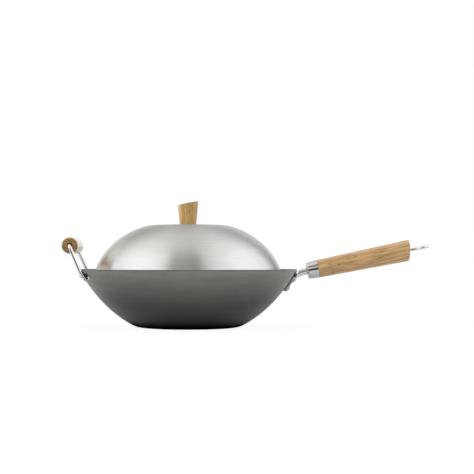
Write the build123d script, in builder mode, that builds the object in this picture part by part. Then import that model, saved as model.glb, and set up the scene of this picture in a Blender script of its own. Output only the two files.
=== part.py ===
from build123d import *
import os
from math import asin, atan2, cos, degrees, radians, sin, sqrt

os.makedirs("parts", exist_ok=True)

# A 14 inch flat-based carbon steel wok with its domed lid. The origin is the centre of the
# base's underside. +Z is up and +X points along the long handle. Lengths are in millimetres.

# Fits
seat_gap = 0.1
weld_gap = 0.3
fit_gap = 0.15
roller_gap = 0.5
lid_gap = 0.4
cut_overrun = 40.0

# Bowl: one sheet, pressed to a flat base and a wall of two tangent arcs
rim_radius = 178.0
bowl_height = 94.6
bowl_sheet = 1.6
base_radius = 84.0
base_corner_radius = 30.0
belly_reach_share = 0.534
belly_rise_share = 0.376
base_slope_share = 0.578

# Lid: a thin sheet with a nearly flat crown, a domed side and a narrow flange that lies
# on the wall inside the bowl, at its seat's depth below the rim
lid_seat_depth = 22.1
lid_height = 94.8
lid_sheet = 0.8
lid_flange_width = 5.5
lid_flange_bend = 1.5
lid_crown_reach_share = 0.406
lid_crown_drop_share = 0.0135
lid_bulge_reach_share = 0.839
lid_bulge_drop_share = 0.432
lid_shoulder_angle = 12.0
lid_shoulder_blend = 30.0

# Knob: a tapered turned piece, its top cut on the slant, held by a screw from inside
knob_foot_radius = 13.6
knob_head_radius = 16.9
knob_height = 35.4
knob_slant = 11.0
knob_edge = 1.0
insert_radius = 4.5
insert_length = 14.0
knob_screw_radius = 2.5
knob_screw_length = 14.0
knob_screw_head_radius = 5.0
knob_screw_head_height = 3.2
knob_screw_slot_width = 1.2
knob_screw_slot_depth = 1.4
knob_washer_radius = 8.0
knob_washer_thickness = 1.0

# Rivets that hold both brackets
rivet_shank_radius = 2.5
rivet_head_radius = 5.2
rivet_head_height = 3.4
rivet_head_edge_height = 0.8
rivet_tail_radius = 4.8
rivet_tail_height = 1.2

# Long handle: its axis starts at the centre of the ferrule's front face and climbs outward.
# Drops here and below are measured down from the rim
handle_start_beyond_rim = 17.5
handle_start_drop = 3.0
handle_climb = 11.5

# Handle bracket: a shallow pressed tray, open to the wall, whose face follows the wall's curve
bracket_sheet = 1.6
bracket_standoff = 4.2
bracket_shoulder = 1.2
bracket_top_drop = 2.6
bracket_height = 32.6
bracket_top_width = 50.0
bracket_foot_width = 21.0
bracket_waist_drop = 13.0
bracket_corner_radius = 6.0
bracket_upper_rivet_drop = 14.4
bracket_upper_rivet_spread = 16.0
bracket_lower_rivet_drop = 29.0

# Neck: a round bar, coped to the bracket, its root spreading down the bracket's face
neck_radius = 5.3
neck_root_start = 6.0
neck_root_sink = 2.15
neck_root_width = 13.0
neck_root_depth = 13.0
neck_insert = 13.0
neck_tap_depth = 9.0

# Ferrule: a tapered cup between the neck and the grip
ferrule_length = 17.0
ferrule_front_radius = 13.1
ferrule_rear_radius = 14.6
ferrule_wall = 1.2
ferrule_edge = 0.9

# Grip: tapered, its far end cut upright
grip_length = 152.0
grip_front_radius = 14.5
grip_rear_radius = 17.2
grip_edge = 1.2

# Tie rod and hanging loop
tie_rod_radius = 2.0
barrel_radius = 2.6
barrel_inside = 11.0
barrel_outside = 6.0
barrel_tap_depth = 8.5
loop_wire_radius = 2.25
loop_bend_radius = 9.0
loop_length = 27.6

# Helper handle: a strap on the wall carries a wire bail with a turning grip
strap_plate = 2.0
strap_top_drop = 1.6
strap_height = 15.0
strap_end_margin = 7.0
strap_corner_radius = 5.0
strap_rivet_spread = 30.0
roller_radius = 13.1
roller_length = 95.0
roller_edge = 1.8
roller_end_gap = 1.0
bail_wire_radius = 3.0
bail_axis_beyond_rim = 11.0
bail_axis_rise = 38.0
bail_bend_radius = 7.0
bail_knee_drop = 1.5
bail_knee_radius = 22.0
bail_knee_flare = 5.5
bail_foot_drop = 14.5
bail_foot_flare = 3.0

# Section line of the wall's outside: two arcs that meet without a kink at the belly
wall_reach = rim_radius - base_radius
base_slope = base_slope_share * atan2(bowl_height, wall_reach)
with BuildLine() as wall_line:
    lower_wall = TangentArc(
        (base_radius, 0),
        (base_radius + belly_reach_share * wall_reach, belly_rise_share * bowl_height),
        tangent=(cos(base_slope), sin(base_slope)),
    )
    upper_wall = TangentArc(
        lower_wall @ 1,
        (rim_radius, bowl_height),
        tangent=lower_wall % 1,
    )

wall_centre = upper_wall.arc_center
wall_radius = upper_wall.radius


def wall_angle(height):
    """Slope of the upper wall's normal at a height, in radians."""
    return asin((height - wall_centre.Y) / wall_radius)


def wall_spot(height, spread, side, standoff=0):
    """Plane on the outside of the upper wall, its normal pointing out of the bowl.

    side is 1 at the long handle and -1 at the helper handle. The plane's x runs level
    along the wall and its y runs up the wall.
    """
    dip = wall_angle(height)
    reach = wall_centre.X + wall_radius * cos(dip)
    swing = asin(spread / reach)
    outward = Vector(side * cos(dip) * cos(swing), cos(dip) * sin(swing), sin(dip))
    foot = Vector(side * reach * cos(swing), reach * sin(swing), height)
    level = Vector(-sin(swing), side * cos(swing), 0)
    return Plane(origin=foot + outward * standoff, x_dir=level, z_dir=outward)


def wall_shell(inside, outside, low, high):
    """Ring between two offsets of the upper wall and two heights."""
    low_angle = degrees(wall_angle(low))
    rise_angle = degrees(wall_angle(high)) - low_angle
    with BuildPart() as ring:
        with BuildSketch(Plane.YZ):
            with BuildLine():
                inner = CenterArc(wall_centre, wall_radius + inside, low_angle, rise_angle)
                outer = CenterArc(wall_centre, wall_radius + outside, low_angle, rise_angle)
                Line(inner @ 0, outer @ 0)
                Line(inner @ 1, outer @ 1)
            make_face()
        revolve(axis=Axis.Z)
    return ring.part


# Heights on the wall that the rim sets
bracket_top = bowl_height - bracket_top_drop
bracket_bottom = bracket_top - bracket_height
bracket_middle = (bracket_top + bracket_bottom) / 2
upper_rivet_height = bowl_height - bracket_upper_rivet_drop
lower_rivet_height = bowl_height - bracket_lower_rivet_drop
strap_top = bowl_height - strap_top_drop
strap_bottom = strap_top - strap_height
strap_middle = (strap_top + strap_bottom) / 2

# Rivet places: two above and one below at the long handle, two at the helper handle
bracket_rivet_spots = [
    wall_spot(upper_rivet_height, -bracket_upper_rivet_spread, 1),
    wall_spot(upper_rivet_height, bracket_upper_rivet_spread, 1),
    wall_spot(lower_rivet_height, 0, 1),
]
strap_rivet_spots = [
    wall_spot(strap_middle, -strap_rivet_spread, -1),
    wall_spot(strap_middle, strap_rivet_spread, -1),
]
rivet_hole_radius = rivet_shank_radius + seat_gap

# Bowl: a solid of revolution, opened to an even sheet and drilled for the rivets
with BuildPart() as wok_bowl:
    with BuildSketch(Plane.YZ) as bowl_section:
        with BuildLine():
            add(wall_line.line)
            Polyline(upper_wall @ 1, (0, bowl_height), (0, 0), lower_wall @ 0)
        make_face()
        base_corner = bowl_section.vertices().group_by(Axis.Y)[0].sort_by(Axis.X)[-1]
        fillet(base_corner, radius=base_corner_radius)
    revolve(axis=Axis.Z)
    offset(amount=-bowl_sheet, openings=wok_bowl.faces().sort_by(Axis.Z)[-1])
    with Locations(*bracket_rivet_spots, *strap_rivet_spots):
        Hole(radius=rivet_hole_radius, depth=rivet_tail_radius)
wok_bowl.part.label = "wok_bowl"
export_step(wok_bowl.part, "parts/wok_bowl.step")

# Handle bracket: a shield-shaped tray, pressed to the wall's curve, its edges turned to the wall
bracket_half_length = bracket_height / cos(wall_angle(bracket_middle)) / 2


def bracket_block(inset, standoff):
    """Block with the shield's outline less an inset, from the wall out to a standoff."""
    shell = wall_shell(0, standoff, bracket_bottom - bracket_corner_radius, bowl_height)
    with BuildPart() as block:
        with BuildSketch(wall_spot(bracket_middle, 0, 1)) as shield:
            with BuildLine():
                Polyline(
                    (-bracket_foot_width / 2, -bracket_half_length),
                    (bracket_foot_width / 2, -bracket_half_length),
                    (bracket_top_width / 2, bracket_half_length - bracket_waist_drop),
                    (bracket_top_width / 2, bracket_half_length),
                    (-bracket_top_width / 2, bracket_half_length),
                    (-bracket_top_width / 2, bracket_half_length - bracket_waist_drop),
                    close=True,
                )
            make_face()
            fillet(shield.vertices(), radius=bracket_corner_radius)
            offset(amount=-inset, mode=Mode.REPLACE)
        extrude(amount=cut_overrun, both=True)
        add(shell, mode=Mode.INTERSECT)
    return block.part


with BuildPart() as handle_bracket:
    add(bracket_block(0, bracket_standoff))
    bracket_face = handle_bracket.faces().sort_by(SortBy.AREA)[-1]
    fillet(bracket_face.edges(), radius=bracket_shoulder)
    add(bracket_block(bracket_sheet, bracket_standoff - bracket_sheet), mode=Mode.SUBTRACT)
    with Locations(*bracket_rivet_spots):
        Hole(radius=rivet_hole_radius, depth=rivet_tail_radius)
handle_bracket.part.label = "handle_bracket"
export_step(handle_bracket.part, "parts/handle_bracket.step")

# Helper bracket: a level strap on the wall, wide enough for both feet of the bail, which
# flares from the roller's ends down to its feet
bail_bend_spread = roller_length / 2 + roller_end_gap + bail_bend_radius
bail_knee_spread = bail_bend_spread + bail_knee_flare
bail_foot_spread = bail_knee_spread + bail_foot_flare
strap_width = 2 * (bail_foot_spread + strap_end_margin)
strap_shell = wall_shell(0, strap_plate, strap_bottom - strap_corner_radius, bowl_height)
with BuildPart() as helper_bracket:
    with BuildSketch(Plane.YZ):
        with Locations((0, strap_middle)):
            RectangleRounded(strap_width, strap_height, radius=strap_corner_radius)
    extrude(amount=-rim_radius)
    add(strap_shell, mode=Mode.INTERSECT)
    with Locations(*strap_rivet_spots):
        Hole(radius=rivet_hole_radius, depth=rivet_tail_radius)
helper_bracket.part.label = "helper_bracket"
export_step(helper_bracket.part, "parts/helper_bracket.step")


def rivet(plate):
    """Rivet along +Z, with the wall's outside at zero and a plate on top of it."""
    inside = -bowl_sheet - seat_gap
    with BuildPart() as body:
        with BuildSketch(Plane.XZ):
            with BuildLine():
                Polyline(
                    (0, plate + rivet_head_height),
                    (0, inside - rivet_tail_height),
                    (rivet_shank_radius, inside - rivet_tail_height),
                    (rivet_tail_radius, inside),
                    (rivet_shank_radius, inside),
                    (rivet_shank_radius, plate),
                    (rivet_head_radius, plate),
                    (rivet_head_radius, plate + rivet_head_edge_height),
                )
                TangentArc(
                    (0, plate + rivet_head_height),
                    (rivet_head_radius, plate + rivet_head_edge_height),
                    tangent=(1, 0),
                )
            make_face()
        revolve(axis=Axis.Z)
    return body.part


bracket_rivet = rivet(bracket_standoff)
strap_rivet = rivet(strap_plate)

with BuildPart() as handle_bracket_rivets:
    with Locations(*bracket_rivet_spots):
        add(bracket_rivet)
handle_bracket_rivets.part.label = "handle_bracket_rivets"
export_step(handle_bracket_rivets.part, "parts/handle_bracket_rivets.step")

with BuildPart() as helper_bracket_rivets:
    with Locations(*strap_rivet_spots):
        add(strap_rivet)
helper_bracket_rivets.part.label = "helper_bracket_rivets"
export_step(helper_bracket_rivets.part, "parts/helper_bracket_rivets.step")

# Directions of the long handle
handle_start = Vector(rim_radius + handle_start_beyond_rim, 0, bowl_height - handle_start_drop)
handle_along = Vector(cos(radians(handle_climb)), 0, sin(radians(handle_climb)))
handle_up = Vector(-sin(radians(handle_climb)), 0, cos(radians(handle_climb)))
handle_axis = Axis(handle_start, handle_along)
handle_section = Plane(origin=handle_start, x_dir=handle_along, z_dir=(0, -1, 0))
grip_end = ferrule_length + grip_length


def across(distance):
    """Plane square to the handle's axis, its x level and its y up."""
    return Plane(origin=handle_start + handle_along * distance, x_dir=(0, 1, 0), z_dir=handle_along)


# Neck: the bar, its spreading root, the cope to the bracket and a tapped hole for the tie rod
neck_seat = wall_shell(-cut_overrun, bracket_standoff, bracket_bottom, bowl_height + neck_root_depth)
neck_root_end = handle_start_beyond_rim / cos(radians(handle_climb)) + neck_root_sink
with BuildPart() as handle_neck:
    with BuildSketch(across(-neck_root_start)):
        Circle(neck_radius)
    extrude(amount=neck_root_start + neck_insert)
    with BuildSketch(across(-neck_root_start)):
        Circle(neck_radius)
    with BuildSketch(across(-neck_root_end)):
        with Locations((0, neck_radius - neck_root_depth / 2)):
            Ellipse(neck_root_width / 2, neck_root_depth / 2)
    loft()
    add(neck_seat, mode=Mode.SUBTRACT)
    with BuildSketch(across(neck_insert)):
        Circle(tie_rod_radius)
    extrude(amount=-neck_tap_depth, mode=Mode.SUBTRACT)
handle_neck.part.label = "handle_neck"
export_step(handle_neck.part, "parts/handle_neck.step")

# Ferrule: tapered cup with a hole for the neck in its front
neck_hole_radius = neck_radius + seat_gap
ferrule_taper = (ferrule_rear_radius - ferrule_front_radius) / ferrule_length
with BuildPart() as handle_ferrule:
    with BuildSketch(handle_section) as ferrule_section:
        with BuildLine():
            Polyline(
                (0, neck_hole_radius),
                (0, ferrule_front_radius),
                (ferrule_length, ferrule_rear_radius),
                (ferrule_length, ferrule_rear_radius - ferrule_wall),
                (ferrule_wall, ferrule_front_radius + ferrule_taper * ferrule_wall - ferrule_wall),
                (ferrule_wall, neck_hole_radius),
                close=True,
            )
        make_face()
        front_edge = ferrule_section.vertices().group_by(Axis.X)[0].sort_by(Axis.Y)[-1]
        fillet(front_edge, radius=ferrule_edge)
    revolve(axis=handle_axis)
handle_ferrule.part.label = "handle_ferrule"
export_step(handle_ferrule.part, "parts/handle_ferrule.step")

# Grip: a tenon fills the ferrule, the body widens towards an upright cut, and bores along
# the axis take the neck, the tie rod and the loop's barrel
tenon_start = ferrule_wall + weld_gap
tenon_front_radius = ferrule_front_radius + ferrule_taper * tenon_start - ferrule_wall - fit_gap
tenon_rear_radius = ferrule_rear_radius - ferrule_wall - fit_gap
grip_taper = (grip_rear_radius - grip_front_radius) / grip_length
grip_blank = grip_length + cut_overrun
grip_cut = Plane.YZ.offset((handle_start + handle_along * grip_end).X)
with BuildPart() as handle_grip:
    with BuildSketch(handle_section):
        with BuildLine():
            Polyline(
                (tenon_start, 0),
                (tenon_start, tenon_front_radius),
                (ferrule_length, tenon_rear_radius),
                (ferrule_length, grip_front_radius),
                (ferrule_length + grip_blank, grip_front_radius + grip_taper * grip_blank),
                (ferrule_length + grip_blank, 0),
                close=True,
            )
        make_face()
    revolve(axis=handle_axis)
    split(bisect_by=grip_cut, keep=Keep.BOTTOM)
    fillet(handle_grip.faces().sort_by(Axis.X)[-1].edges(), radius=grip_edge)
    with BuildSketch(across(tenon_start)):
        Circle(neck_radius + fit_gap)
    extrude(amount=neck_insert + weld_gap - tenon_start, mode=Mode.SUBTRACT)
    with BuildSketch(across(tenon_start)):
        Circle(tie_rod_radius + fit_gap)
    extrude(amount=grip_blank, mode=Mode.SUBTRACT)
    with BuildSketch(across(grip_end - barrel_inside)):
        Circle(barrel_radius + fit_gap)
    extrude(amount=cut_overrun, mode=Mode.SUBTRACT)
handle_grip.part.label = "handle_grip"
export_step(handle_grip.part, "parts/handle_grip.step")

# Tie rod: runs from the neck's tapped hole to the barrel's
rod_start = neck_insert - neck_tap_depth + weld_gap
rod_end = grip_end - barrel_inside + barrel_tap_depth - weld_gap
with BuildPart() as handle_tie_rod:
    with BuildSketch(across(rod_start)):
        Circle(tie_rod_radius - fit_gap)
    extrude(amount=rod_end - rod_start)
handle_tie_rod.part.label = "handle_tie_rod"
export_step(handle_tie_rod.part, "parts/handle_tie_rod.step")

# Hanging loop: a wire eye, level across the handle, on a barrel that stands out of the grip
loop_root = grip_end + barrel_outside
loop_centre = loop_root + loop_length - loop_wire_radius - loop_bend_radius
loop_spread = asin(loop_bend_radius / (loop_centre - loop_root))
loop_plane = Plane(origin=handle_start, x_dir=handle_along, z_dir=handle_up)
with BuildPart() as hanging_loop:
    with BuildLine(loop_plane) as half_eye:
        Line(
            (loop_root, 0),
            (loop_centre - loop_bend_radius * sin(loop_spread), loop_bend_radius * cos(loop_spread)),
        )
        CenterArc(
            (loop_centre, 0),
            loop_bend_radius,
            90 + degrees(loop_spread),
            -90 - degrees(loop_spread),
        )
    with BuildSketch(Plane(origin=half_eye.line @ 0, z_dir=half_eye.line % 0)):
        Circle(loop_wire_radius)
    sweep(path=half_eye.line)
    mirror(about=Plane.XZ)
    with BuildSketch(across(grip_end - barrel_inside)):
        Circle(barrel_radius)
    extrude(amount=barrel_inside + barrel_outside)
    with BuildSketch(across(grip_end - barrel_inside)):
        Circle(tie_rod_radius)
    extrude(amount=barrel_tap_depth, mode=Mode.SUBTRACT)
hanging_loop.part.label = "hanging_loop"
export_step(hanging_loop.part, "parts/hanging_loop.step")

# Helper bail: one bent wire, whose feet lie on the strap and whose middle carries the roller
bail_standoff = strap_plate + weld_gap + bail_wire_radius
bail_axis_reach = rim_radius + bail_axis_beyond_rim
bail_axis_height = bowl_height + bail_axis_rise
bail_foot_height = bowl_height - bail_foot_drop
bail_knee_height = bowl_height - bail_knee_drop
bail_points = [
    wall_spot(bail_foot_height, -bail_foot_spread, -1, bail_standoff).origin,
    wall_spot(bail_knee_height, -bail_knee_spread, -1, bail_standoff).origin,
    (-bail_axis_reach, -bail_bend_spread, bail_axis_height),
    (-bail_axis_reach, bail_bend_spread, bail_axis_height),
    wall_spot(bail_knee_height, bail_knee_spread, -1, bail_standoff).origin,
    wall_spot(bail_foot_height, bail_foot_spread, -1, bail_standoff).origin,
]
bail_radii = [bail_knee_radius, bail_bend_radius, bail_bend_radius, bail_knee_radius]
with BuildPart() as helper_wire:
    with BuildLine() as bail_line:
        FilletPolyline(*bail_points, radius=bail_radii)
    with BuildSketch(Plane(origin=bail_line.line @ 0, z_dir=bail_line.line % 0)):
        Circle(bail_wire_radius)
    sweep(path=bail_line.line)
helper_wire.part.label = "helper_wire"
export_step(helper_wire.part, "parts/helper_wire.step")

# Helper grip: a roller that turns freely on the wire
roller_plane = Plane(
    origin=(-bail_axis_reach, 0, bail_axis_height), x_dir=(1, 0, 0), z_dir=(0, 1, 0)
)
with BuildPart() as helper_grip:
    with BuildSketch(roller_plane):
        Circle(roller_radius)
    extrude(amount=roller_length / 2, both=True)
    fillet(helper_grip.edges().filter_by(GeomType.CIRCLE), radius=roller_edge)
    with Locations(roller_plane):
        Hole(radius=bail_wire_radius + roller_gap)
helper_grip.part.label = "helper_grip"
export_step(helper_grip.part, "parts/helper_grip.step")

# Lid size: its flange's edge comes out to the wall's inside at the depth of its seat
lid_seat = bowl_height - lid_seat_depth
lid_seat_reach = sqrt((wall_radius - bowl_sheet) ** 2 - (lid_seat - wall_centre.Y) ** 2)
lid_radius = wall_centre.X + lid_seat_reach - lid_gap
lid_skirt_radius = lid_radius - lid_flange_width
lid_crown_radius = lid_crown_reach_share * lid_skirt_radius
lid_bulge_radius = lid_bulge_reach_share * lid_skirt_radius
lid_top = lid_seat + lid_height
lid_section_plane = Plane(origin=(0, 0, lid_seat), x_dir=(0, 1, 0), z_dir=(1, 0, 0))

# Lid dome: crown, shoulder and side arcs, turned to a solid, opened below and flanged
shoulder_slope = radians(lid_shoulder_angle)
with BuildPart() as lid_dome:
    with BuildSketch(lid_section_plane) as dome_section:
        with BuildLine():
            crown = TangentArc(
                (0, lid_height),
                (lid_crown_radius, lid_height * (1 - lid_crown_drop_share)),
                tangent=(1, 0),
            )
            shoulder = TangentArc(
                crown @ 1,
                (lid_bulge_radius, lid_height * (1 - lid_bulge_drop_share)),
                tangent=(cos(shoulder_slope), -sin(shoulder_slope)),
            )
            side = TangentArc(shoulder @ 1, (lid_skirt_radius, 0), tangent=shoulder % 1)
            Polyline(side @ 1, (0, 0), (0, lid_height))
        make_face()
        crown_edge = dome_section.vertices().sort_by_distance((lid_crown_radius, lid_height))[0]
        fillet(crown_edge, radius=lid_shoulder_blend)
    revolve(axis=Axis.Z)
    offset(amount=-lid_sheet, openings=lid_dome.faces().sort_by(Axis.Z)[0])
    with BuildSketch(Plane.XY.offset(lid_seat)):
        Circle(lid_radius)
        Circle(lid_skirt_radius - lid_sheet / 2, mode=Mode.SUBTRACT)
    extrude(amount=lid_sheet)
    flange_top = lid_dome.faces().filter_by(Axis.Z).group_by(Axis.Z)[1]
    fillet(flange_top.edges().sort_by(SortBy.LENGTH)[0], radius=lid_flange_bend)
    with Locations(Plane.XY.offset(lid_top)):
        Hole(radius=knob_screw_radius + fit_gap, depth=knob_screw_length)
lid_dome.part.label = "lid_dome"
export_step(lid_dome.part, "parts/lid_dome.step")

# Knob: tapered blank, slanted top and a blind hole for the threaded insert
knob_taper = (knob_head_radius - knob_foot_radius) / knob_height
knob_blank = knob_height + knob_head_radius
knob_cut = Plane(
    origin=(0, 0, lid_top + knob_height),
    z_dir=(-sin(radians(knob_slant)), 0, cos(radians(knob_slant))),
)
with BuildPart() as lid_knob:
    with BuildSketch(Plane.XY.offset(lid_top)):
        Circle(knob_foot_radius)
    with BuildSketch(Plane.XY.offset(lid_top + knob_blank)):
        Circle(knob_foot_radius + knob_taper * knob_blank)
    loft()
    split(bisect_by=knob_cut, keep=Keep.BOTTOM)
    fillet(lid_knob.faces().filter_by(GeomType.PLANE).edges(), radius=knob_edge)
    with BuildSketch(Plane.XY.offset(lid_top)):
        Circle(insert_radius + fit_gap)
    extrude(amount=insert_length + weld_gap, mode=Mode.SUBTRACT)
lid_knob.part.label = "lid_knob"
export_step(lid_knob.part, "parts/lid_knob.step")

# Threaded insert in the knob's foot
with BuildPart() as lid_knob_insert:
    with BuildSketch(Plane.XY.offset(lid_top + seat_gap)):
        Circle(insert_radius)
        Circle(knob_screw_radius + seat_gap, mode=Mode.SUBTRACT)
    extrude(amount=insert_length)
lid_knob_insert.part.label = "lid_knob_insert"
export_step(lid_knob_insert.part, "parts/lid_knob_insert.step")

# Washer and screw under the crown
washer_top = lid_top - lid_sheet - seat_gap
washer_bottom = washer_top - knob_washer_thickness
with BuildPart() as lid_knob_washer:
    with BuildSketch(Plane.XY.offset(washer_bottom)):
        Circle(knob_washer_radius)
        Circle(knob_screw_radius + fit_gap, mode=Mode.SUBTRACT)
    extrude(amount=knob_washer_thickness)
lid_knob_washer.part.label = "lid_knob_washer"
export_step(lid_knob_washer.part, "parts/lid_knob_washer.step")

with BuildPart() as lid_knob_screw:
    with BuildSketch(Plane.XY.offset(washer_bottom)):
        Circle(knob_screw_head_radius)
    extrude(amount=-knob_screw_head_height)
    head_face = lid_knob_screw.faces().sort_by(Axis.Z)[0]
    fillet(head_face.edges(), radius=knob_screw_head_height / 2)
    with BuildSketch(Plane.XY.offset(washer_bottom)):
        Circle(knob_screw_radius)
    extrude(amount=knob_screw_length)
    with BuildSketch(Plane.XY.offset(washer_bottom - knob_screw_head_height)):
        Rectangle(2 * knob_screw_head_radius, knob_screw_slot_width)
    extrude(amount=knob_screw_slot_depth, mode=Mode.SUBTRACT)
lid_knob_screw.part.label = "lid_knob_screw"
export_step(lid_knob_screw.part, "parts/lid_knob_screw.step")
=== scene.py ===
# %% [markdown]
# A carbon steel wok with a domed steel lid, a long bamboo handle and a turning bamboo helper
# grip. The shapes come from the CAD model, which is loaded first and stays where it is. This
# lesson sets up the camera, the room, the lamp and the floor of a plain product photograph,
# and then gives every surface its finish.

# %% Load the wok
from math import pi, radians

import bmesh
import bpy
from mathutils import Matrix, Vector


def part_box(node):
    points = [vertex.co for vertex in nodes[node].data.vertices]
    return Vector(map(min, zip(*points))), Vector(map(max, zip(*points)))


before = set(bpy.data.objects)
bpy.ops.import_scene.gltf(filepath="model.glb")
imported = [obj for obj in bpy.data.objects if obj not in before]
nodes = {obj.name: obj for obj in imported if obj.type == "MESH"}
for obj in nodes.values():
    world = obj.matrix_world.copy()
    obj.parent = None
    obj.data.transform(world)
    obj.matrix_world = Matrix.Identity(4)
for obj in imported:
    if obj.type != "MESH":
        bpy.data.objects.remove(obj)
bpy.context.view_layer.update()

# %% [markdown]
# The photograph is taken from the side, almost level with the rim, with the bowl left of the
# middle of the picture. A level camera keeps upright lines upright, so the framing is done
# with the lens shift and not by tilting or turning. A long lens from 1.8 m keeps the near and
# far sides of the bowl almost the same size.

# %% Set up the camera
camera_distance = 1.8
camera_over_rim = 0.0127
lens_mm = 83.4
shift_right = 0.1034
shift_up = 0.0515

rim_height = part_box("wok_bowl")[1].z
camera_data = bpy.data.cameras.new("side_camera")
camera_data.sensor_width = 36
camera_data.lens = lens_mm
camera_data.shift_x = shift_right
camera_data.shift_y = shift_up
camera = bpy.data.objects.new("side_camera", camera_data)
camera.location = (0, -camera_distance, rim_height + camera_over_rim)
camera.rotation_euler = (pi / 2, 0, 0)
bpy.context.scene.collection.objects.link(camera)
bpy.context.scene.camera = camera
bpy.context.scene.view_settings.view_transform = "Standard"
print("camera height in mm:", round(1000 * camera.location.z))

# %% [markdown]
# A finish is a small network of nodes, and a few helpers keep the networks short to read. One
# adds a node, one joins a socket to another or sets its plain number, and one calculates. A
# socket or a plain number can be given to a calculation, so a pattern reads almost like a
# formula. The small ones after it are the sums that come back again and again.


# %% Helpers that add, join and calculate
def add_node(tree, kind, **settings):
    node = tree.nodes.new(kind)
    for name, value in settings.items():
        setattr(node, name, value)
    return node


def feed(tree, value, socket):
    if isinstance(value, bpy.types.NodeSocket):
        tree.links.new(value, socket)
    else:
        socket.default_value = value


def calculate(tree, operation, *values, clamp=False):
    node = add_node(tree, "ShaderNodeMath", operation=operation, use_clamp=clamp)
    for value, socket in zip(values, node.inputs):
        feed(tree, value, socket)
    return node.outputs[0]


def plus(tree, first, second):
    return calculate(tree, "ADD", first, second)


def times(tree, first, second):
    return calculate(tree, "MULTIPLY", first, second)


def divided(tree, first, second):
    return calculate(tree, "DIVIDE", first, second)


def gap_to(tree, value, point):
    """How far a value is from a point, on either side of it."""
    return calculate(tree, "ABSOLUTE", calculate(tree, "SUBTRACT", value, point))


def distance(tree, first, second):
    """How far the place with these two coordinates is from their zero."""
    squares = plus(tree, times(tree, first, first), times(tree, second, second))
    return calculate(tree, "SQRT", squares)


def split(tree, vector):
    """The x, y and z of a place or a direction."""
    node = add_node(tree, "ShaderNodeSeparateXYZ")
    feed(tree, vector, node.inputs[0])
    return tuple(node.outputs)


# %% [markdown]
# More helpers turn a pattern into something to look at. `spread` maps one range of numbers to
# another, and `fade` does it with angles in degrees. `blend` mixes two colours or two
# numbers, `tinted` multiplies a colour by another, and `ramp` looks a colour up on a ramp.


# %% Helpers that spread and mix
def spread(tree, value, low, high, to_low=0.0, to_high=1.0):
    """Maps a value from one range to another, with soft ends."""
    node = add_node(tree, "ShaderNodeMapRange", interpolation_type="SMOOTHSTEP")
    for name, number in zip(("Value", "From Min", "From Max", "To Min", "To Max"),
                            (value, low, high, to_low, to_high)):
        feed(tree, number, node.inputs[name])
    return node.outputs["Result"]


def fade(tree, angle, start, end, to_low=0.0, to_high=1.0):
    return spread(tree, angle, radians(start), radians(end), to_low, to_high)


def blend(tree, share, first, second, kind="RGBA", mode="MIX"):
    node = add_node(tree, "ShaderNodeMix", data_type=kind)
    if kind == "RGBA":
        node.blend_type = mode
    sockets = [socket for socket in node.inputs if socket.enabled]
    for value, socket in zip((share, first, second), sockets):
        if kind == "RGBA" and isinstance(value, tuple):
            value = (*value, 1)
        feed(tree, value, socket)
    return next(socket for socket in node.outputs if socket.enabled)


def tinted(tree, colour, tint):
    return blend(tree, 1.0, colour, tint, mode="MULTIPLY")


def ramp(tree, value, stops):
    """Colour ramp from (place, colour) pairs, the colour being a grey or an RGB."""
    node = add_node(tree, "ShaderNodeValToRGB")
    elements = node.color_ramp.elements
    while len(elements) < len(stops):
        elements.new(1.0)
    for element, (place, colour) in zip(elements, stops):
        element.position = place
        rgb = colour if isinstance(colour, tuple) else (colour,) * 3
        element.color = (*rgb, 1)
    feed(tree, value, node.inputs["Fac"])
    return node.outputs["Color"]


# %% [markdown]
# Polished and brushed metal is only as good as what it reflects. In the photograph the lid
# shows two bright fans with a dark band between them: big soft lights left and right, and the
# dark side of the room behind the camera. The room could be built from lamps and panels. Here
# it is written as a world that depends on the direction only, which has no edges of panels
# and is changed by changing a number.
#
# The walls are two belts of light. Steep surfaces mirror the low belt, and flatter ones
# mirror the high belt. A stop is an angle and a brightness, as a grey or an RGB. Angle 0 is
# the way to the camera, and 90 is to the right, along the long handle. The numbers come from
# comparing the render with the photograph, one direction at a time.

# %% The walls of the room
low_belt = [
    (-180, 0.72), (-172, 0.76), (-160, (0.64, 0.64, 0.58)), (-150, (0.80, 0.80, 0.72)),
    (-142, (0.98, 0.98, 0.92)), (-130, 1.06), (-112, 1.18), (-74, 1.42), (-42, 1.20),
    (-24, 0.80), (24, 0.70), (44, 0.98), (82, 1.27), (124, 1.18), (130, 1.04), (136, 0.74),
    (141, 0.34), (147, 0.32), (153, 0.70), (162, 0.98), (172, 0.92), (180, 0.76),
]
high_belt = [
    (-180, 0.44), (-170, 0.40), (-160, 0.30), (-154, 0.32), (-146, (0.54, 0.54, 0.48)),
    (-136, (0.69, 0.69, 0.62)), (-124, 0.92), (-112, 1.18), (-74, 1.40), (-42, 1.20),
    (-24, 0.80), (24, 0.70), (44, 0.98), (82, 1.27), (130, 1.22), (136, 0.92), (141, 0.42),
    (146, 0.12), (153, 0.12), (160, 0.38), (170, 0.48), (180, 0.44),
]
print("stops in the low and the high belt:", len(low_belt), len(high_belt))

# %% [markdown]
# The brightest walls are well over 1, and colours are easiest to handle up to about 1. So the
# room's colours are divided by one scale, which the strength of the background gives back in
# the end.


# %% Room colours
room_scale = 1.4


def room_colour(value):
    levels = value if isinstance(value, tuple) else (value,) * 3
    return tuple(level / room_scale for level in levels)


brightest = max(max(room_colour(value)) for _, value in low_belt + high_belt)
print("brightest wall, as it is stored:", round(brightest, 3))

# %% [markdown]
# The direction of a ray becomes two angles: the azimuth round the wok and the elevation over
# the horizon. A belt is looked up by azimuth, and the low one fades into the high one as the
# elevation grows. High over the back the room is a little darker, and overhead it is one pale
# ceiling. A dark line runs round the front and the sides where the room meets the table.

# %% Walls, ceiling and table line
belts_part, belts_end = 25, 34
ceiling = (0.85, 0.84, 0.79)
high_back = 0.74
line_at_table = 0.04

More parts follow.
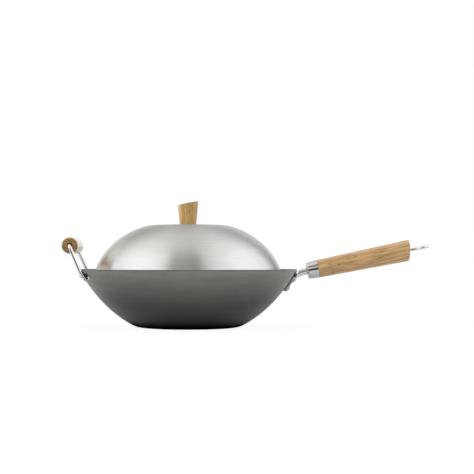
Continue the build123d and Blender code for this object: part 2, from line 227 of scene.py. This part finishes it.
world = bpy.data.worlds.new("studio_room")
world.use_nodes = True
tree = world.node_tree
tree.nodes.clear()
x, y, z = split(tree, add_node(tree, "ShaderNodeTexCoord").outputs["Generated"])
azimuth = calculate(tree, "ARCTAN2", x, times(tree, y, -1.0))
elevation = calculate(tree, "ARCSINE", z)
side = calculate(tree, "ABSOLUTE", azimuth)
turn_share = plus(tree, divided(tree, azimuth, 2 * pi), 0.5)

low_walls, high_walls = (
    ramp(tree, turn_share, [(angle / 360 + 0.5, room_colour(value)) for angle, value in belt])
    for belt in (low_belt, high_belt))
walls = blend(tree, fade(tree, elevation, belts_part, belts_end), low_walls, high_walls)
over_back = times(tree, fade(tree, side, 130, 150), fade(tree, elevation, 46, 60))
walls = blend(tree, over_back, walls, room_colour(high_back))
walls = blend(tree, fade(tree, elevation, 44, 78), walls, room_colour(ceiling))
table_line = times(tree, fade(tree, elevation, 9, 6), fade(tree, side, 118, 112))
walls = blend(tree, table_line, walls, room_colour(line_at_table))
print("the high belt takes over from", belts_part, "to", belts_end, "degrees up")

# %% [markdown]
# The part of the room behind the camera is a picture of its own. It is dark low down, then
# comes a soft light, a dimmer gap and the pale top. A narrow darker lane a little right of
# the middle is what draws the dark streak down the lid. The lights there are warm, so all of
# it gets a slight warm cast.

# %% The room behind the camera
behind_camera = [(0, 0.03), (15, 0.03), (22, 0.66), (38, 0.66), (45, 0.18), (60, 0.18),
                 (75, 0.84), (90, 0.84)]
front_middle = radians(-3)
lane_middle = radians(11)
lane_colour = 0.03
lane_depth = 0.28
warm_cast = (1.0, 0.99, 0.93)

up_share = calculate(tree, "DIVIDE", elevation, pi / 2, clamp=True)
front = ramp(tree, up_share,
             [(angle / 90, room_colour(value)) for angle, value in behind_camera])
dark_lane = fade(tree, gap_to(tree, azimuth, lane_middle), 9, 3, 0.0, lane_depth)
front = blend(tree, dark_lane, front, room_colour(lane_colour))
front = tinted(tree, front, warm_cast)
in_front = fade(tree, gap_to(tree, azimuth, front_middle), 29.5, 25.5)
room = blend(tree, in_front, walls, front)
print("stops behind the camera:", len(behind_camera))

# %% [markdown]
# Straight behind the wok stands the white backdrop, which metal mirrors along its outlines.
# That completes the room for metal. On wood and floor such a patchy room would only give
# patchy light, so they get a plain soft sky, a little brighter from both sides and most from
# the right.

# %% Backdrop and soft sky
backdrop_top = 15
backdrop_side = 152
sky_low, sky_high = 0.66, 0.73
sky_middle, sky_sides = 0.60, 1.75
extra_from_right = 0.75
side_starts, side_full = 0.2, 0.9

backdrop = times(tree, fade(tree, side, backdrop_side, backdrop_side + 4),
                 fade(tree, elevation, backdrop_top + 5, backdrop_top))
room = blend(tree, backdrop, room, room_colour(1.0))
both_sides = spread(tree, calculate(tree, "ABSOLUTE", x), side_starts, side_full,
                    sky_middle, sky_sides)
right_side = spread(tree, x, side_starts, side_full, 0.0, extra_from_right)
from_sides = plus(tree, both_sides, right_side)
soft_sky = times(tree, fade(tree, elevation, 0, 60, sky_low, sky_high), from_sides)
print("backdrop height in degrees:", backdrop_top)
print("side light against the middle:", round(sky_sides / sky_middle, 1))

# %% [markdown]
# Now room and sky are put together. The Light Path node tells which kind of ray asks: metal
# gets the room, matt surfaces get the soft sky, and the camera itself sees plain white.


# %% Who sees what
def ray_kinds(tree):
    """Whether a ray comes from the camera, and whether it comes from metal or through glass."""
    rays = add_node(tree, "ShaderNodeLightPath").outputs
    in_metal = calculate(tree, "MAXIMUM", rays["Is Glossy Ray"], rays["Is Transmission Ray"])
    return rays["Is Camera Ray"], in_metal


def background(colour, strength):
    node = add_node(tree, "ShaderNodeBackground")
    feed(tree, (*colour, 1) if isinstance(colour, tuple) else colour, node.inputs["Color"])
    feed(tree, strength, node.inputs["Strength"])
    return node.outputs[0]


def choose(tree, share, first, second):
    node = add_node(tree, "ShaderNodeMixShader")
    for value, socket in zip((share, first, second), node.inputs):
        feed(tree, value, socket)
    return node.outputs[0]


white = (1.0, 1.0, 1.0)
from_camera, in_metal = ray_kinds(tree)
lit = choose(tree, in_metal, background(white, soft_sky), background(room, room_scale))
view = choose(tree, from_camera, lit, background(white, 1.0))
feed(tree, view, add_node(tree, "ShaderNodeOutputWorld").inputs["Surface"])
bpy.context.scene.world = world
print("nodes in the room:", len(tree.nodes))

# %% [markdown]
# One large soft lamp stands high on the left, a little in front, as the key light for wood
# and floor. Metal doesn't mirror it, because the room above already holds the lights that
# metal shows.

# %% The key light
lamp_width = 1.6
lamp_height = 1.2
lamp_watts = 8

key_data = bpy.data.lights.new("key_softbox", "AREA")
key_data.shape = "RECTANGLE"
key_data.size = lamp_width
key_data.size_y = lamp_height
key_data.energy = lamp_watts
key = bpy.data.objects.new("key_softbox", key_data)
key.location = (-1.4, -1.0, 1.3)
key.rotation_euler = (-key.location).to_track_quat("-Z", "Y").to_euler()
key.visible_glossy = False
bpy.context.scene.collection.objects.link(key)
print("key lamp power in watts:", key_data.energy)

# %% [markdown]
# The floor is one plain flat sheet. It lies a hair under the base, so that the two surfaces
# don't flicker through each other.

# %% The floor's shape
floor_size = 30.0
floor_drop = 0.0003

floor_mesh = bpy.data.meshes.new("floor")
plan = bmesh.new()
bmesh.ops.create_grid(plan, x_segments=1, y_segments=1, size=floor_size / 2)
plan.to_mesh(floor_mesh)
plan.free()
floor = bpy.data.objects.new("floor", floor_mesh)
floor.location.z = -floor_drop
bpy.context.scene.collection.objects.link(floor)
print("floor:", floor_size, "m square")

# %% [markdown]
# The floor is pale. It is white where it is seen, partly by its own glow, which reaches only
# the camera, so it adds no light to the wok. The rest is real light on a matt surface, which
# keeps the soft shadow under the bowl. What metal mirrors is a table that ends a short way in
# front of the wok, with the dark room beyond it: that edge draws the thin dark lines along
# polished handles.

# %% The floor's finish
table_front = -0.62
table_edge = 0.03
paint_for_light = 0.88
paint_on_table = 0.82
paint_past_table = 0.04
paint_seen, glow_seen = 0.12, 0.922

floor_finish = bpy.data.materials.new("pale_floor")
floor_finish.use_nodes = True
tree = floor_finish.node_tree
tree.nodes.clear()
depth = split(tree, add_node(tree, "ShaderNodeTexCoord").outputs["Object"])[1]
on_table = spread(tree, depth, table_front - table_edge, table_front + table_edge)


def glowing_floor(paint, glow=0.0):
    matt = add_node(tree, "ShaderNodeBsdfDiffuse")
    matt.inputs["Color"].default_value = (paint, paint, paint, 1)
    light = add_node(tree, "ShaderNodeEmission")
    light.inputs["Strength"].default_value = glow
    both = add_node(tree, "ShaderNodeAddShader")
    feed(tree, matt.outputs[0], both.inputs[0])
    feed(tree, light.outputs[0], both.inputs[1])
    return both.outputs[0]


from_camera, in_metal = ray_kinds(tree)
lights_the_wok = glowing_floor(paint_for_light)
table_in_metal = choose(tree, on_table, glowing_floor(paint_past_table),
                        glowing_floor(paint_on_table))
looked_at = glowing_floor(paint_seen, glow=glow_seen)
unseen = choose(tree, in_metal, lights_the_wok, table_in_metal)
floor_shader = choose(tree, from_camera, unseen, looked_at)
feed(tree, floor_shader, add_node(tree, "ShaderNodeOutputMaterial").inputs["Surface"])
floor_mesh.materials.append(floor_finish)
print("table ends in front at mm:", round(1000 * table_front))

# %% [markdown]
# Every finish starts from the same principled shader. Its coordinates are the object's own,
# in metres, so a pattern keeps its real size and stays on the piece when the piece moves.
# Noise gives the patterns: a scale of 1000 makes grains about a millimetre wide. A bump turns
# a pattern into fine relief, which bends the light but leaves the shape alone.


# %% A new finish
def new_finish(name):
    finish = bpy.data.materials.new(name)
    finish.use_nodes = True
    tree = finish.node_tree
    shader = next(node for node in tree.nodes if node.type == "BSDF_PRINCIPLED")
    place = add_node(tree, "ShaderNodeTexCoord").outputs["Object"]
    return finish, tree, shader, place


def noise(tree, place, scale, detail, roughness):
    node = add_node(tree, "ShaderNodeTexNoise")
    feed(tree, place, node.inputs["Vector"])
    node.inputs["Scale"].default_value = scale
    node.inputs["Detail"].default_value = detail
    node.inputs["Roughness"].default_value = roughness
    return node.outputs["Fac"]


def bump(tree, height, strength, depth):
    node = add_node(tree, "ShaderNodeBump")
    node.inputs["Strength"].default_value = strength
    node.inputs["Distance"].default_value = depth
    feed(tree, height, node.inputs["Height"])
    return node.outputs["Normal"]


def give(finish, *names):
    for name in names:
        nodes[name].material_slots[0].material = finish
    print(finish.name, "on", ", ".join(names))


# %% [markdown]
# Spinning and brushing leave marks that run round the Z axis. Noise in straight coordinates
# can't follow them. So the place is rewritten as radius, turn and height. With the turn made
# small, the noise hardly changes on the way round, and its grains become rings.


# %% Rings round the axis
def ring_place(tree, place, turn_scale):
    x, y, z = split(tree, place)
    turn = calculate(tree, "ARCTAN2", y, x)
    joined = add_node(tree, "ShaderNodeCombineXYZ")
    for value, socket in zip((distance(tree, x, y), times(tree, turn, turn_scale), z),
                             joined.inputs):
        feed(tree, value, socket)
    return joined.outputs[0]


# %% [markdown]
# Hands, cloths and dishwater work on a pan, so outer edges get rubbed. Seams where one piece
# meets another are darkened as painted shade, partly oil that stays behind there. An edge is
# found by rounding the normals a little and asking how far they turned. A seam is found by
# looking round from the surface for something close by.


# %% Edges and seams
def worn_edge(tree, width):
    rounded = add_node(tree, "ShaderNodeBevel", samples=6)
    rounded.inputs["Radius"].default_value = width
    turned = add_node(tree, "ShaderNodeVectorMath", operation="DOT_PRODUCT")
    feed(tree, rounded.outputs[0], turned.inputs[0])
    feed(tree, add_node(tree, "ShaderNodeNewGeometry").outputs["Normal"], turned.inputs[1])
    return spread(tree, turned.outputs["Value"], 0.995, 0.90)


# Darkening near other pieces: painted shade in seams and recesses, partly oil.
def oil_and_shade_in_seams(tree, reach):
    nearby = add_node(tree, "ShaderNodeAmbientOcclusion", samples=8)
    nearby.inputs["Distance"].default_value = reach
    return spread(tree, nearby.outputs["AO"], 0.85, 0.35)


# %% [markdown]
# The bowl is bare carbon steel, dark grey and satin, spun or pressed on a form, so faint
# rings run round it. It is a metal, so its grey comes from what it reflects, and its base
# colour is how much of that comes back. Rings change the grey and the gloss a little, and
# slow clouds keep it from looking printed.

# %% Carbon steel: rings and clouds
steel_dark = (0.160, 0.159, 0.147)
steel_light = (0.215, 0.213, 0.197)

carbon_steel, tree, shader, place = new_finish("carbon_steel")
rings = ring_place(tree, place, 0.012)
fine_rings = noise(tree, rings, 900, 4, 0.6)
wide_rings = noise(tree, rings, 160, 3, 0.55)
clouds = noise(tree, place, 22, 4, 0.6)
tone = plus(tree, times(tree, wide_rings, 0.5), times(tree, clouds, 0.5))
colour = ramp(tree, tone, [(0.30, steel_dark), (0.70, steel_light)])
shader.inputs["Metallic"].default_value = 1.0
feed(tree, spread(tree, fine_rings, 0.3, 0.7, 0.40, 0.52), shader.inputs["Roughness"])
feed(tree, bump(tree, fine_rings, 0.15, 0.0002), shader.inputs["Normal"])
print("steel from", steel_dark, "to", steel_light)

# %% [markdown]
# Outside, the bowl is painted darker from the base up and lighter towards the rim. This is
# painted shade and painted light, partly the flame's blackening. Inside, burnt-in oil makes it
# only a little darker towards the middle. The two faces are told apart by the way they face:
# the outside looks down and the inside looks up. Both marks are greys that multiply the
# steel's own colour, looked up by height as a share of the bowl's. Where the rim is rubbed,
# the steel is a plain grey.

# %% Carbon steel: flame, painted shade and burnt oil
# Outside: painted shade towards the base and painted light towards the rim, partly flame
# blackening.
outside_flame_and_shade = [(0.0, 0.02), (0.04, 0.02), (0.11, 0.07), (0.18, 0.17), (0.32, 0.40),
                 (0.46, 0.62), (0.60, 0.88), (0.74, 1.10), (0.87, 1.32), (0.94, 1.50),
                 (0.975, 1.50), (0.988, 1.0)]
inside_oil = [(0.05, 0.52), (0.30, 0.62), (0.55, 0.84), (0.85, 1.05), (1.0, 1.35)]
rubbed_steel = (0.10, 0.10, 0.095)

height_share = divided(tree, split(tree, place)[2], rim_height)
facing_up = split(tree, add_node(tree, "ShaderNodeTexCoord").outputs["Normal"])[2]
outside = spread(tree, facing_up, 0.15, -0.15)
# The outside mark by height is painted shade and painted light, partly flame blackening.
flame_and_shade = ramp(tree, height_share, outside_flame_and_shade)
cloudy_height = plus(tree, height_share, times(tree, clouds, 0.10))
burnt_oil = ramp(tree, cloudy_height, inside_oil)
colour = tinted(tree, colour, blend(tree, outside, burnt_oil, flame_and_shade))
colour = blend(tree, worn_edge(tree, 0.0005), colour, rubbed_steel)
feed(tree, colour, shader.inputs["Base Color"])
print("darkest and lightest flame mark:", min(grey for _, grey in outside_flame_and_shade),
      max(grey for _, grey in outside_flame_and_shade))

# %% [markdown]
# A thin film of oil keeps rust away. Seen at a glancing angle the film mirrors much more,
# which draws the light line along both outlines of the bowl. It is the shader's coat. The
# flame burns it off near the base, so there the film ends, and the steel's own sheen at
# glancing angles goes too.

# %% Carbon steel: film of oil
film_by_height = [(0.02, 0.0), (0.06, 0.20), (0.12, 0.70), (0.18, 0.9), (0.30, 0.9),
                  (0.46, 0.5)]
sheen_by_height = [(0.02, 0.10), (0.16, 1.0)]

film = ramp(tree, height_share, film_by_height)
feed(tree, blend(tree, outside, (0.5, 0.5, 0.5), film), shader.inputs["Coat Weight"])
edge_sheen = ramp(tree, height_share, sheen_by_height)
feed(tree, blend(tree, outside, white, edge_sheen), shader.inputs["Specular Tint"])
shader.inputs["Coat Roughness"].default_value = 0.3
give(carbon_steel, "wok_bowl")

# %% [markdown]
# The lid is stainless steel, brushed on a turntable. The scratches run round the knob, and
# light spreads across scratches, so each lamp is drawn out into a fan from knob to rim. That
# is anisotropy: the tangent runs round the Z axis, and a quarter turn puts the wide side of
# the gloss across the scratches.

# %% Brushed stainless steel
lid_dark = (0.755, 0.750, 0.742)
lid_light = (0.815, 0.810, 0.802)
lid_rubbed = (0.86, 0.86, 0.85)
lid_sheen = (0.72, 0.72, 0.71)

stainless, tree, shader, place = new_finish("brushed_stainless")
rings = ring_place(tree, place, 0.006)
scratches = noise(tree, rings, 1500, 4, 0.65)
bands = noise(tree, rings, 420, 3, 0.6)
colour = ramp(tree, bands, [(0.30, lid_dark), (0.70, lid_light)])
colour = blend(tree, worn_edge(tree, 0.0004), colour, lid_rubbed)
feed(tree, colour, shader.inputs["Base Color"])
feed(tree, spread(tree, scratches, 0.3, 0.7, 0.28, 0.35), shader.inputs["Roughness"])
shader.inputs["Metallic"].default_value = 1.0
shader.inputs["Specular Tint"].default_value = (*lid_sheen, 1)
shader.inputs["Anisotropic"].default_value = 0.9
shader.inputs["Anisotropic Rotation"].default_value = 0.25
round_knob = add_node(tree, "ShaderNodeTangent", direction_type="RADIAL", axis="Z")
feed(tree, round_knob.outputs[0], shader.inputs["Tangent"])
feed(tree, bump(tree, scratches, 0.1, 0.0001), shader.inputs["Normal"])
give(stainless, "lid_dome")

# %% [markdown]
# Neck, brackets, rivets, bail and hanging loop are chrome plated. Chrome mirrors the room
# almost unchanged. Very slight waves in the plate bend the reflections, and small patches are
# a little duller where fingers and cloths have been. The seams are darkened as painted shade,
# partly burnt oil. The tray of the long handle has the deepest seam and the widest reach, so
# its side walls are painted dark all the way up.


# %% Chrome
chrome_dull = (0.84, 0.85, 0.86)
chrome_bright = (0.92, 0.925, 0.93)
chrome_rubbed = (0.70, 0.69, 0.66)
oil_roughness = 0.35


def chrome(name, seam_reach, oil_and_shade):
    finish, tree, shader, place = new_finish(name)
    waves = noise(tree, place, 90, 2, 0.5)
    dull = noise(tree, place, 260, 4, 0.6)
    # Seam darkening is painted shade, partly burnt oil; on the tray it covers the side walls.
    seam_oil_and_shade = oil_and_shade_in_seams(tree, seam_reach)
    colour = ramp(tree, dull, [(0.3, chrome_dull), (0.7, chrome_bright)])
    colour = blend(tree, worn_edge(tree, 0.0003), colour, chrome_rubbed)
    feed(tree, blend(tree, seam_oil_and_shade, colour, oil_and_shade), shader.inputs["Base Color"])
    roughness = blend(tree, seam_oil_and_shade, spread(tree, dull, 0.35, 0.75, 0.06, 0.14), oil_roughness,
                      kind="FLOAT")
    feed(tree, roughness, shader.inputs["Roughness"])
    shader.inputs["Metallic"].default_value = 1.0
    feed(tree, bump(tree, waves, 0.08, 0.0004), shader.inputs["Normal"])
    return finish


chrome_plate = chrome("chrome_plate", seam_reach=0.004, oil_and_shade=(0.16, 0.15, 0.13))
give(chrome_plate, "handle_bracket_rivets", "handle_neck", "hanging_loop", "helper_bracket",
     "helper_bracket_rivets", "helper_wire")
chrome_tray = chrome("chrome_tray", seam_reach=0.014, oil_and_shade=(0.03, 0.03, 0.025))
give(chrome_tray, "handle_bracket")

# %% [markdown]
# The ferrule is polished steel, a neutral grey that is darker than the chrome beside it, with
# fine marks and edges that are rubbed dull.

# %% Polished ferrule steel
ferrule_dark = (0.70, 0.70, 0.70)
ferrule_light = (0.82, 0.82, 0.82)
ferrule_rubbed = (0.52, 0.53, 0.54)

ferrule_steel, tree, shader, place = new_finish("polished_ferrule")
marks = noise(tree, place, 400, 3, 0.6)
colour = ramp(tree, marks, [(0.3, ferrule_dark), (0.7, ferrule_light)])
colour = blend(tree, worn_edge(tree, 0.0004), colour, ferrule_rubbed)
feed(tree, colour, shader.inputs["Base Color"])
feed(tree, spread(tree, marks, 0.3, 0.7, 0.10, 0.18), shader.inputs["Roughness"])
shader.inputs["Metallic"].default_value = 1.0
give(ferrule_steel, "handle_ferrule")

# %% [markdown]
# The grips are laminated bamboo, with fibres along the grip. The wood is a pattern in space
# and not a picture wrapped round it. The pattern is turned until its X axis runs along the
# grip, and stretched that way, so a cut across the grip shows the ends of the fibres as dots.


# %% Bamboo: fibres along the grip
def turn_to_grip(tree, vector, turn):
    node = add_node(tree, "ShaderNodeMapping")
    feed(tree, vector, node.inputs["Vector"])
    node.inputs["Rotation"].default_value = turn
    return node.outputs[0]


def long_grain(tree, place, stretch, scale, detail):
    """A small stretch makes long grains."""
    node = add_node(tree, "ShaderNodeMapping")
    feed(tree, place, node.inputs["Vector"])
    node.inputs["Scale"].default_value = (stretch, 1, 1)
    return noise(tree, node.outputs[0], scale, detail, 0.58)


# %% [markdown]
# The strips are a few millimetres wide, glued side by side, each a little lighter or darker
# than the next. Each strip has a number, and a noise that looks at the number only gives it
# its tone. Soft streaks are stronger than the strips. Warm clouds and fine dark fibres lie
# over both.


# %% Bamboo: strips and colours
wood_dark = (0.40, 0.235, 0.085)
wood_middle = (0.62, 0.382, 0.158)
wood_light = (0.84, 0.570, 0.290)
wood_warm = (0.76, 0.425, 0.175)
fibre_dark = (0.34, 0.200, 0.080)


def strip_tone(tree, strip_place):
    """strip_place counts the strips across the grip."""
    strips = add_node(tree, "ShaderNodeTexWhiteNoise", noise_dimensions="1D")
    feed(tree, calculate(tree, "FLOOR", strip_place), strips.inputs["W"])
    return strips.outputs["Value"]


def bamboo_colour(tree, strip, fibres, streaks, clouds):
    tone = plus(tree, times(tree, strip, 0.18), times(tree, streaks, 0.82))
    colour = ramp(tree, tone, [(0.34, wood_dark), (0.50, wood_middle), (0.66, wood_light)])
    colour = blend(tree, spread(tree, clouds, 0.48, 0.68, 0.0, 0.5), colour, wood_warm)
    return blend(tree, spread(tree, fibres, 0.50, 0.68, 0.0, 0.4), colour, fibre_dark)


# %% [markdown]
# Every quarter of a metre a stem of bamboo has a joint, which crosses its strip as a short
# dark line. Each strip is shifted along by its own amount, so the lines of neighbours don't
# meet. The streaks make a line uneven, and it fades out towards both sides of its strip.


# %% Bamboo: joints of the stem
stem_joint_spacing = 0.25
stem_joint_shift = -0.237
shift_from_strip = 7.3
shift_from_streaks = 0.03
joint_dark = (0.33, 0.195, 0.085)


def stem_joint(tree, along, strip_place, strip, streaks):
    joints = plus(tree, divided(tree, along, stem_joint_spacing),
                  times(tree, strip, shift_from_strip))
    joints = plus(tree, joints, times(tree, streaks, shift_from_streaks))
    joints = plus(tree, joints, stem_joint_shift)
    from_joint = gap_to(tree, calculate(tree, "FRACT", joints), 0.5)
    from_middle = gap_to(tree, calculate(tree, "FRACT", strip_place), 0.5)
    return times(tree, spread(tree, from_joint, 0.009, 0.001, 0.0, 0.75),
                 spread(tree, from_middle, 0.50, 0.20))


# %% [markdown]
# Cut ends drink more oil and turn darker, and hands darken the edges. The mouth of a hole is
# painted almost black, a painted shade for the shadow inside the bore. It is found by the
# distance from the grip's axis, a little wider than the bore.


# %% Bamboo: ends, edges and hole
end_tint = (0.60, 0.56, 0.42)
edge_dark = (0.25, 0.155, 0.07)
# Near-black colour of the painted shade at a hole's mouth.
hole_shade = (0.020, 0.011, 0.005)


def worn_and_shaded_bamboo(tree, colour, facing_along, from_axis, bore):
    cut_end = spread(tree, calculate(tree, "ABSOLUTE", facing_along), 0.45, 0.95)
    colour = blend(tree, cut_end, colour, tinted(tree, colour, end_tint))
    colour = blend(tree, times(tree, worn_edge(tree, 0.0012), 0.7), colour, edge_dark)
    # The hole's mouth gets painted shade, standing in for the shadow in the bore.
    hole_shade_share = spread(tree, from_axis, bore + 0.0016, bore + 0.0004)
    return blend(tree, hole_shade_share, colour, hole_shade)


# %% [markdown]
# The finish puts these together. Satin lacquer over the wood mirrors the soft lights along
# both sides of each grip. A lacquer is a weight and a roughness of the shader's coat.


# %% Bamboo: the whole finish
def bamboo(name, turn, centre, bore, tint=white, strip_width=0.005, lacquer=(0.8, 0.25)):
    """turn brings the grip's length to the pattern's X axis, centre is a point on its axis."""
    finish, tree, shader, place = new_finish(name)
    shifted = add_node(tree, "ShaderNodeVectorMath", operation="SUBTRACT")
    feed(tree, place, shifted.inputs[0])
    shifted.inputs[1].default_value = centre
    wood_place = turn_to_grip(tree, shifted.outputs[0], turn)
    along, across, up = split(tree, wood_place)
    normal = add_node(tree, "ShaderNodeTexCoord").outputs["Normal"]
    facing_along = split(tree, turn_to_grip(tree, normal, turn))[0]

    fibres = long_grain(tree, wood_place, 0.05, 1500, 4)
    streaks = long_grain(tree, wood_place, 0.07, 460, 3)
    clouds = long_grain(tree, wood_place, 0.16, 240, 2)
    strip_place = divided(tree, up, strip_width)
    strip = strip_tone(tree, strip_place)
    colour = bamboo_colour(tree, strip, fibres, streaks, clouds)
    joint = stem_joint(tree, along, strip_place, strip, streaks)
    colour = tinted(tree, blend(tree, joint, colour, joint_dark), tint)
    colour = worn_and_shaded_bamboo(tree, colour, facing_along, distance(tree, across, up), bore)

    feed(tree, colour, shader.inputs["Base Color"])
    feed(tree, spread(tree, fibres, 0.3, 0.7, 0.40, 0.54), shader.inputs["Roughness"])
    shader.inputs["Coat Weight"].default_value = lacquer[0]
    shader.inputs["Coat Roughness"].default_value = lacquer[1]
    feed(tree, bump(tree, fibres, 0.15, 0.0003), shader.inputs["Normal"])
    return finish


# %% [markdown]
# Three grips, three settings. The long grip climbs, and the hanging loop sits in its hole, so
# the loop's box says where its axis ends. The roller lies across the picture and has the
# smoother lacquer. The knob stands upright, and its wood is yellower.

# %% Bamboo on its three grips
handle_climb = radians(11.5)
loop_stub = 0.011
loop_bore = 0.0026
roller_bore = 0.0035

loop_low, loop_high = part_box("hanging_loop")
grip_end = (loop_low.x + loop_stub, 0, (loop_low.z + loop_high.z) / 2)
give(bamboo("bamboo_grip", (0, handle_climb, 0), grip_end, loop_bore), "handle_grip")
roller_low, roller_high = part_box("helper_grip")
roller_centre = (roller_low + roller_high) / 2
give(bamboo("bamboo_roller", (0, 0, pi / 2), roller_centre, roller_bore,
            lacquer=(1.0, 0.10)), "helper_grip")
give(bamboo("bamboo_knob", (0, pi / 2, 0), (0, 0, 0), 0.0, tint=(0.98, 1.0, 0.75)),
     "lid_knob")

# %% [markdown]
# Under the lid a zinc plated screw and washer hold the knob by a brass insert, and a zinc
# plated rod runs through the long handle. They hardly show, but they get their own metals.


# %% Hidden hardware
def speckled_metal(name, dark, light, roughness):
    finish, tree, shader, place = new_finish(name)
    spots = noise(tree, place, 700, 4, 0.6)
    colour = ramp(tree, spots, [(0.3, dark), (0.7, light)])
    colour = blend(tree, worn_edge(tree, 0.0003), colour, dark)
    feed(tree, colour, shader.inputs["Base Color"])
    feed(tree, spread(tree, spots, 0.3, 0.7, roughness, roughness + 0.12),
         shader.inputs["Roughness"])
    shader.inputs["Metallic"].default_value = 1.0
    return finish


zinc_plate = speckled_metal("zinc_plate", (0.52, 0.53, 0.55), (0.66, 0.67, 0.68), 0.32)
give(zinc_plate, "handle_tie_rod", "lid_knob_washer", "lid_knob_screw")
brass = speckled_metal("machined_brass", (0.62, 0.45, 0.20), (0.76, 0.58, 0.30), 0.28)
give(brass, "lid_knob_insert")
